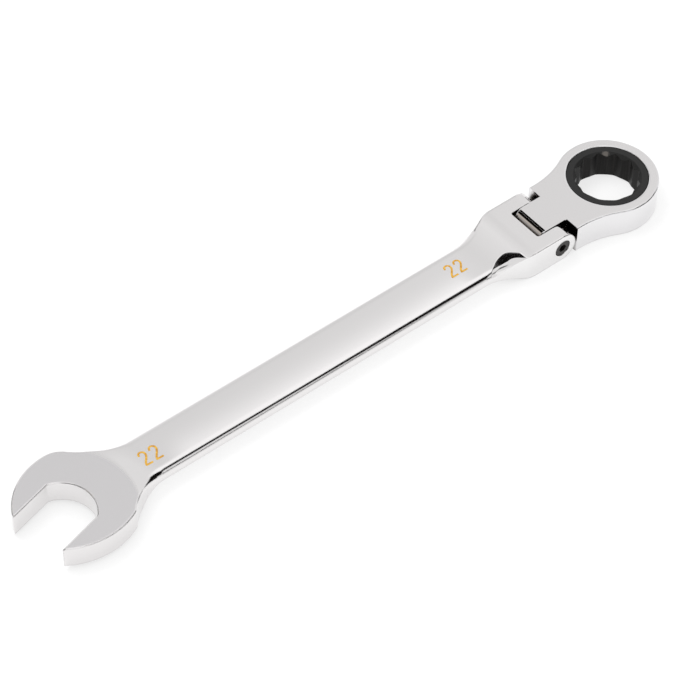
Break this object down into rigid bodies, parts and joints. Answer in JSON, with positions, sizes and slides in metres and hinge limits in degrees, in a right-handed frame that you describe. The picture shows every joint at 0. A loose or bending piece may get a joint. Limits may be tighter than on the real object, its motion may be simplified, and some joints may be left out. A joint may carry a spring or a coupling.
{
  "type": "ratchet wrench",
  "caption": "Long combination wrench: an angled open jaw, a slim shank flaring into a fork, and a round ratchet head that swings in the fork and holds a splined drive gear.",
  "frame": {"origin": "centre of the drive hole at half the head's height", "axes": "+X along the tool to the ratchet head's nose, with the open jaw at -X; +Z along the drive hole, square to the tool's flat faces; +Y across the tool"},
  "size_m": [0.2847, 0.0424, 0.012],
  "materials": {
    "forged_chrome": "polished chrome plate, satin on the broad faces",
    "head_chrome": "polished chrome plate, satin on the broad faces",
    "gear_steel": "black phosphate",
    "pin_steel": "black oxide",
    "ring_steel": "blued spring steel",
    "pawl_steel": "hardened, oiled",
    "plunger_steel": "ground, oiled",
    "spring_wire": "drawn spring wire"
  },
  "bodies": {
    "handle": {"handle": "forged_chrome", "hinge_pin": "pin_steel", "friction_spring": "spring_wire"},
    "head": {"ratchet_head": "head_chrome", "retaining_ring": "ring_steel", "pawl_spring": "spring_wire"},
    "gear": {"drive_gear": "gear_steel"},
    "pawl": {"pawl": "pawl_steel"},
    "plunger": {"friction_plunger": "plunger_steel"}
  },
  "joints": [
    {"name": "head_flex", "type": "hinge", "parent": "handle", "child": "head", "pos_m": [-0.0338, 0, 0], "axis": [0, -1, 0], "range_deg": [-90, 90]},
    {"name": "gear_spin", "type": "hinge", "parent": "head", "child": "gear", "pos_m": [0, 0, 0], "axis": [0, 0, 1], "continuous": true},
    {"name": "pawl_slide", "type": "slide", "parent": "head", "child": "pawl", "axis": [-1, 0, 0], "range_m": [0, 0.0003], "stiffness_N_per_m": 300, "springref_m": -0.002, "deforming": ["pawl_spring"]},
    {"name": "plunger_slide", "type": "slide", "parent": "handle", "child": "plunger", "axis": [-1, 0, 0], "range_m": [0, 0.001], "stiffness_N_per_m": 1500, "springref_m": -0.004, "deforming": ["friction_spring"]}
  ]
}
